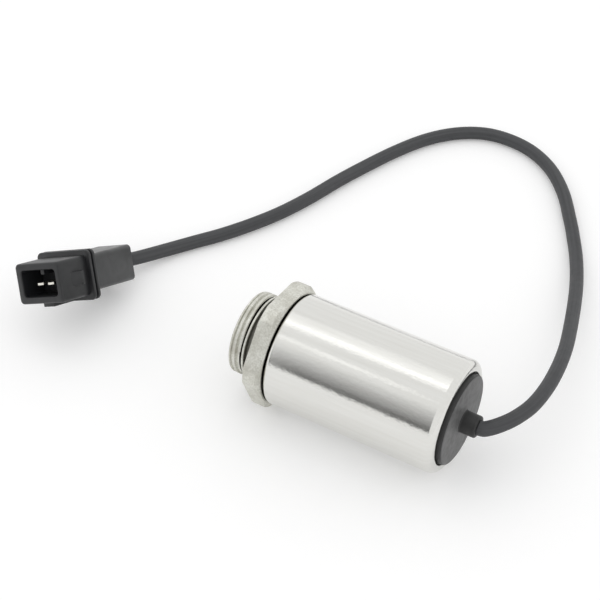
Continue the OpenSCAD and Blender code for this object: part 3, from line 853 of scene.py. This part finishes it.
# %% [markdown]
# ## Copper winding and its tape
#
# Enamelled wire, wound in neat layers: each turn is a rounded ridge round the axis. The wire is 0.45 mm
# thick, and its ridges are drawn about twice as far apart, so that they can be told. The enamel gives
# it a clear gloss over the copper. The tape is a thin amber film.

# %% Materials for the winding


def enamelled_wire(name, wire):
    material, tree = new_material(name)
    place = add(tree, "ShaderNodeTexCoord").outputs["Object"]
    turns = add(
        tree,
        "ShaderNodeTexWave",
        {"Vector": place, "Scale": 1 / wire / 6.3, "Distortion": 0.0},
        wave_type="BANDS",
        bands_direction="X",
    ).outputs["Fac"]
    # The copper is darker in the valleys between turns and lighter on their crests: painted shade between
    # the turns.
    tone = add(
        tree, "ShaderNodeMix", {0: turns, 6: colour("7A3B1E"), 7: colour("C9743F")}, data_type="RGBA"
    ).outputs[2]
    ridges = add(
        tree, "ShaderNodeBump", {"Height": turns, "Strength": 0.8, "Distance": 0.15 * MM}
    ).outputs[0]
    shader = add(
        tree,
        "ShaderNodeBsdfPrincipled",
        {"Base Color": tone, "Metallic": 0.9, "Roughness": 0.3, "Normal": ridges, "Coat Weight": 0.6},
    )
    add(tree, "ShaderNodeOutputMaterial", {"Surface": shader.outputs[0]})
    return material


copper_finish = enamelled_wire("enamelled_copper_wire", 0.45 * MM)
print("made", copper_finish.name)

# %% [markdown]
# ## Moulded plastic
#
# Glass-filled nylon and polyester both come out of the mould nearly black and matt, with a fine
# grain from the mould's spark-eroded surface and faint cloudy flow. The grain scatters the light, so
# a black plastic looks dark grey where it faces a bright room.

# %% Material for mouldings


def moulded_plastic(name, light, dark, roughness, grain, depth=0.35, scuffs_and_face_light=None):
    """A moulding in two tones. The last argument is a lighter grey for the cap's disc face: scuffs where
    things rub on it, over painted light that lightens the whole face.
    """
    material, tree = new_material(name)
    place = add(tree, "ShaderNodeTexCoord").outputs["Object"]
    grains = add(
        tree, "ShaderNodeTexNoise", {"Vector": place, "Scale": 1 / grain, "Detail": 3.0}
    ).outputs["Fac"]
    flow = add(
        tree,
        "ShaderNodeTexNoise",
        {"Vector": place, "Scale": 1 / (6 * MM), "Detail": 3.0, "Distortion": 1.2},
    ).outputs["Fac"]
    share = add(
        tree, "ShaderNodeMapRange", {"Value": flow, "From Min": 0.35, "From Max": 0.65}
    ).outputs[0]
    tone = add(
        tree, "ShaderNodeMix", {0: share, 6: colour(dark), 7: colour(light)}, data_type="RGBA"
    ).outputs[2]
    if scuffs_and_face_light:
        station = add(tree, "ShaderNodeSeparateXYZ", {"Vector": place}).outputs["X"]
        face = (nose_end + disc_face) * MM
        on_face = add(
            tree, "ShaderNodeMath", {0: station, 1: face, 2: 0.2 * MM}, operation="COMPARE"
        ).outputs[0]
        marks = add(
            tree,
            "ShaderNodeTexNoise",
            {"Vector": place, "Scale": 1 / (2.5 * MM), "Detail": 6.0, "Roughness": 0.65},
        ).outputs["Fac"]
        # The whole disc face is lightened at least 0.45 of the way, which is painted light; the noise on
        # top gives the scuff marks.
        worn = add(
            tree,
            "ShaderNodeMapRange",
            {"Value": marks, "From Min": 0.3, "From Max": 0.6, "To Min": 0.45, "To Max": 1.0},
        ).outputs[0]
        worn = add(tree, "ShaderNodeMath", {0: worn, 1: on_face}, operation="MULTIPLY").outputs[0]
        tone = add(
            tree, "ShaderNodeMix", {0: worn, 6: tone, 7: colour(scuffs_and_face_light)}, data_type="RGBA"
        ).outputs[2]
    rough = add(
        tree,
        "ShaderNodeMapRange",
        {
            "Value": flow, "From Min": 0.3, "From Max": 0.7,
            "To Min": roughness + 0.05, "To Max": roughness - 0.05,
        },
    ).outputs[0]
    bumps = add(
        tree, "ShaderNodeBump", {"Height": grains, "Strength": depth, "Distance": 0.03 * MM}
    ).outputs[0]
    shader = add(
        tree,
        "ShaderNodeBsdfPrincipled",
        {"Base Color": tone, "Roughness": rough, "IOR": 1.53, "Normal": bumps},
    )
    add(tree, "ShaderNodeOutputMaterial", {"Surface": shader.outputs[0]})
    return material


cap_finish = moulded_plastic("glass_filled_polyester", "1D1D1D", "151515", 0.5, 0.5 * MM, 0.5, "606060")
shroud_finish = moulded_plastic("glass_filled_nylon", "1F2022", "1A1B1D", 0.42, 0.4 * MM)
body_finish = moulded_plastic("matt_moulded_nylon", "343536", "2E2F30", 0.36, 0.4 * MM)
carrier_finish = moulded_plastic("natural_nylon", "C9C4B6", "BCB7A8", 0.50, 0.4 * MM)
bobbin_finish = moulded_plastic("bobbin_nylon", "303032", "28282A", 0.50, 0.4 * MM)
tape_finish = moulded_plastic("amber_film_tape", "D2A93A", "C39A2E", 0.30, 1.0 * MM, 0.15)
core_black_finish = moulded_plastic("black_wire_insulation", "2A2A2B", "242425", 0.45, 0.5 * MM, 0.15)
core_red_finish = moulded_plastic("red_wire_insulation", "8E2A20", "82241B", 0.45, 0.5 * MM, 0.15)
print("made eight mouldings and films")

# %% [markdown]
# ## Rubber and the lead's sheath
#
# The seals are carbon-black rubber, matt and a little dusty. The sheath is a soft black plastic that
# was pushed out of a die, so its faint lines run along the lead. They are drawn from the sheath's own
# length and turn, which follow every bend.

# %% Materials for rubber and sheath


def sealing_rubber():
    material, tree = new_material("carbon_black_rubber")
    place = add(tree, "ShaderNodeTexCoord").outputs["Object"]
    dust = add(
        tree, "ShaderNodeTexNoise", {"Vector": place, "Scale": 1 / (1.2 * MM), "Detail": 5.0}
    ).outputs["Fac"]
    tone = add(
        tree, "ShaderNodeMix", {0: dust, 6: colour("1C1C1C"), 7: colour("2B2B2A")}, data_type="RGBA"
    ).outputs[2]
    bumps = add(
        tree, "ShaderNodeBump", {"Height": dust, "Strength": 0.3, "Distance": 0.03 * MM}
    ).outputs[0]
    shader = add(
        tree,
        "ShaderNodeBsdfPrincipled",
        {"Base Color": tone, "Roughness": 0.6, "IOR": 1.52, "Normal": bumps},
    )
    add(tree, "ShaderNodeOutputMaterial", {"Surface": shader.outputs[0]})
    return material


def extruded_sheath():
    material, tree = new_material("extruded_cable_sheath")
    place = add(tree, "ShaderNodeUVMap", uv_map="along_and_round").outputs[0]
    line_width = 0.5 * MM
    stretched = add(tree, "ShaderNodeMapping", {"Vector": place, "Scale": (0.02, 1.0, 1.0)}).outputs[0]
    lines = add(
        tree, "ShaderNodeTexNoise", {"Vector": stretched, "Scale": 1 / line_width / 2, "Detail": 3.0}
    ).outputs["Fac"]
    scuffs = add(
        tree, "ShaderNodeTexNoise", {"Vector": place, "Scale": 1 / (2.5 * MM), "Detail": 5.0}
    ).outputs["Fac"]
    share = add(
        tree, "ShaderNodeMapRange", {"Value": lines, "From Min": 0.35, "From Max": 0.65}
    ).outputs[0]
    tone = add(
        tree, "ShaderNodeMix", {0: share, 6: colour("353638"), 7: colour("414244")}, data_type="RGBA"
    ).outputs[2]
    rough = add(
        tree,
        "ShaderNodeMapRange",
        {"Value": scuffs, "From Min": 0.3, "From Max": 0.7, "To Min": 0.62, "To Max": 0.5},
    ).outputs[0]
    ridges = add(
        tree, "ShaderNodeBump", {"Height": lines, "Strength": 0.3, "Distance": 0.04 * MM}
    ).outputs[0]
    shader = add(
        tree,
        "ShaderNodeBsdfPrincipled",
        {"Base Color": tone, "Roughness": rough, "IOR": 1.52, "Normal": ridges},
    )
    add(tree, "ShaderNodeOutputMaterial", {"Surface": shader.outputs[0]})
    return material


rubber_finish = sealing_rubber()
sheath_finish = extruded_sheath()
held_lead_finish = moulded_plastic("held_cable_sheath", "414244", "353638", 0.55, 0.6 * MM, 0.2)
print("made", rubber_finish.name, "and", sheath_finish.name)

# %% [markdown]
# ## Giving out the finishes
#
# The new pieces and the solids that stay each get one material. The ones inside the can are hidden in
# the photograph but show when the part is taken apart, so they are finished too.

# %% Assign the materials
node_finish = {
    "front_pole": iron_finish, "front_washer": iron_finish, "armature": iron_finish,
    "rear_stop": iron_finish, "rear_yoke": iron_finish, "front_bush": bronze_finish,
    "rear_bush": bronze_finish, "push_pin": pin_finish, "pole_shim": brass_finish,
    "guide_tube": tube_finish, "coil_terminal_1": brass_finish, "coil_terminal_2": brass_finish,
    "bobbin": bobbin_finish, "coil_winding": copper_finish, "winding_tape": tape_finish,
    "cap_seal": rubber_finish, "core_wire_1": core_black_finish, "core_wire_2": core_red_finish,
    "tail_core_1": core_black_finish, "tail_core_2": core_red_finish, "lead_root": held_lead_finish,
    "lead_tail": held_lead_finish, "contact_carrier": carrier_finish, "contact_blade_1": tin_finish,
    "contact_blade_2": tin_finish, "wire_grommet": rubber_finish,
}  # fmt: skip
piece_finish = {
    lead_sheath: sheath_finish, drawn_can: can_finish, threaded_fitting: fitting_finish,
    sealing_ring: rubber_finish, moulded_cap: cap_finish, socket_shroud: shroud_finish,
    connector_body: body_finish, coiled_spring: spring_finish,
}  # fmt: skip
for node, material in node_finish.items():
    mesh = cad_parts[node].data
    mesh.materials.clear()
    mesh.materials.append(material)
for piece, material in piece_finish.items():
    piece.data.materials.clear()
    piece.data.materials.append(material)
print(len(node_finish), "solids and", len(piece_finish), "pieces have their finish")

# %% [markdown]
# ## The studio
#
# A white table under a white tent, with two long softboxes overhead. Polished metal shows the room
# more than itself: the softboxes give the can its two white bands, a glowing card behind the first one
# softens that band's upper edge, and a dark card beside the camera gives the grey band below them.
# Without the dark card the can would look like white plastic. Both cards show in reflections alone.

# %% Table, card, softboxes and tent


def plane(name, width, depth, place, normal, material):
    """A flat stage piece that faces a direction."""
    points = [(x * width / 2, y * depth / 2, 0) for x, y in ((-1, -1), (1, -1), (1, 1), (-1, 1))]
    mesh = bpy.data.meshes.new(name)
    mesh.from_pydata(points, [], [(0, 1, 2, 3)])
    mesh.materials.append(material)
    card = bpy.data.objects.new(name, mesh)
    card.location = place
    card.rotation_mode = "QUATERNION"
    card.rotation_quaternion = Vector(normal).to_track_quat("Z", "Y")
    bpy.context.scene.collection.objects.link(card)
    card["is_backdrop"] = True
    return card


def seen(tree):
    """1 for a ray that shows what it meets, straight or in a reflection, 0 for one that only lights."""
    path = add(tree, "ShaderNodeLightPath").outputs
    either = add(
        tree, "ShaderNodeMath", {0: path["Is Camera Ray"], 1: path["Is Glossy Ray"]}, operation="MAXIMUM"
    )
    return add(
        tree,
        "ShaderNodeMath",
        {0: either.outputs[0], 1: path["Is Transmission Ray"]},
        operation="MAXIMUM",
    ).outputs[0]


def table_surface():
    material, tree = new_material("white_table")
    white = add(tree, "ShaderNodeBsdfDiffuse", {"Color": colour("EEEEEE")}).outputs[0]
    lift = add(tree, "ShaderNodeMath", {0: seen(tree), 1: 0.19}, operation="MULTIPLY").outputs[0]
    glow = add(tree, "ShaderNodeEmission", {"Color": (1, 1, 1, 1), "Strength": lift}).outputs[0]
    both = add(tree, "ShaderNodeAddShader", {0: white, 1: glow}).outputs[0]
    add(tree, "ShaderNodeOutputMaterial", {"Surface": both})
    return material


def card_surface(name, depth, dark, pale, strength=1.0):
    """Card that goes from a dark tone along its lower edge to a pale one along its upper edge."""
    material, tree = new_material(name)
    place = add(tree, "ShaderNodeTexCoord").outputs["Object"]
    height = add(tree, "ShaderNodeSeparateXYZ", {"Vector": place}).outputs["Y"]
    share = add(
        tree, "ShaderNodeMapRange", {"Value": height, "From Min": -depth / 2, "From Max": depth / 2}
    ).outputs[0]
    tone = add(
        tree, "ShaderNodeMix", {0: share, 6: colour(dark), 7: colour(pale)}, data_type="RGBA"
    ).outputs[2]
    glow = add(tree, "ShaderNodeEmission", {"Color": tone, "Strength": strength}).outputs[0]
    add(tree, "ShaderNodeOutputMaterial", {"Surface": glow})
    return material


table_side = 6.0
plane("table", table_side, table_side, (0, 0, 0), (0, 0, 1), table_surface())
dark_width, dark_depth, dark_distance, dark_lean = 0.41, 0.62, 0.75, math.radians(60)
dark_y, dark_z = -dark_distance * math.sin(dark_lean), dark_distance * math.cos(dark_lean)
dark_card = plane(
    "dark_card",
    dark_width,
    dark_depth,
    (-dark_width / 2, dark_y, dark_z),
    (0, -dark_y, -dark_z),
    card_surface("grey_card", dark_depth, "585858", "FAFAFA"),
)
box_length, glow_depth, glow_y, glow_z = 0.9, 0.42, 0.34, 1.03
glow_card = plane(
    "glow_card",
    box_length,
    glow_depth,
    (-0.34, glow_y, glow_z),
    (0, -glow_y, -glow_z),
    card_surface("glowing_card", glow_depth, "ECECEC", "FFFFFF", 1.32),
)
for card in (dark_card, glow_card):
    card.visible_camera = card.visible_diffuse = card.visible_shadow = False


def softbox(name, place, width, depth, brightness):
    """A soft area lamp that lies along the can. Its power follows from its size and its brightness."""
    lamp = bpy.data.lights.new(name, "AREA")
    lamp.shape = "RECTANGLE"
    lamp.size, lamp.size_y = width, depth
    lamp.energy = brightness * math.pi * width * depth
    box = bpy.data.objects.new(name, lamp)
    box.location = place
    box.rotation_mode = "QUATERNION"
    box.rotation_quaternion = Vector((0, -place[1], -place[2])).to_track_quat("-Z", "Y")
    bpy.context.scene.collection.objects.link(box)
    return box


softbox("softbox_over", (-0.34, 0.08, 0.95), box_length, 0.17, 0.42)
softbox("softbox_front", (-0.44, -0.41, 0.87), 0.5, 0.09, 0.30)

world = bpy.data.worlds.new("white_tent")
world.use_nodes = True
world.node_tree.nodes.clear()
tree = world.node_tree
strength = add(tree, "ShaderNodeMix", {0: seen(tree), 2: 0.97, 3: 1.0}).outputs[0]
tent = add(tree, "ShaderNodeBackground", {"Color": (1, 1, 1, 1), "Strength": strength}).outputs[0]
add(tree, "ShaderNodeOutputWorld", {"Surface": tent})
bpy.context.scene.world = world
bpy.context.scene.view_settings.view_transform = "Standard"
print("studio ready")

# %% [markdown]
# ## The size of the dressed part
#
# The dressed part has to fill the same box as the solids. The spans of both boxes are printed, axis by
# axis.

# %% Finish
dressed_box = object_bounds()
for axis, name in enumerate("XYZ"):
    spans = [round(box[1][axis] - box[0][axis], 4) for box in (cad_box, dressed_box)]
    print(name, "CAD", spans[0], "dressed", spans[1])
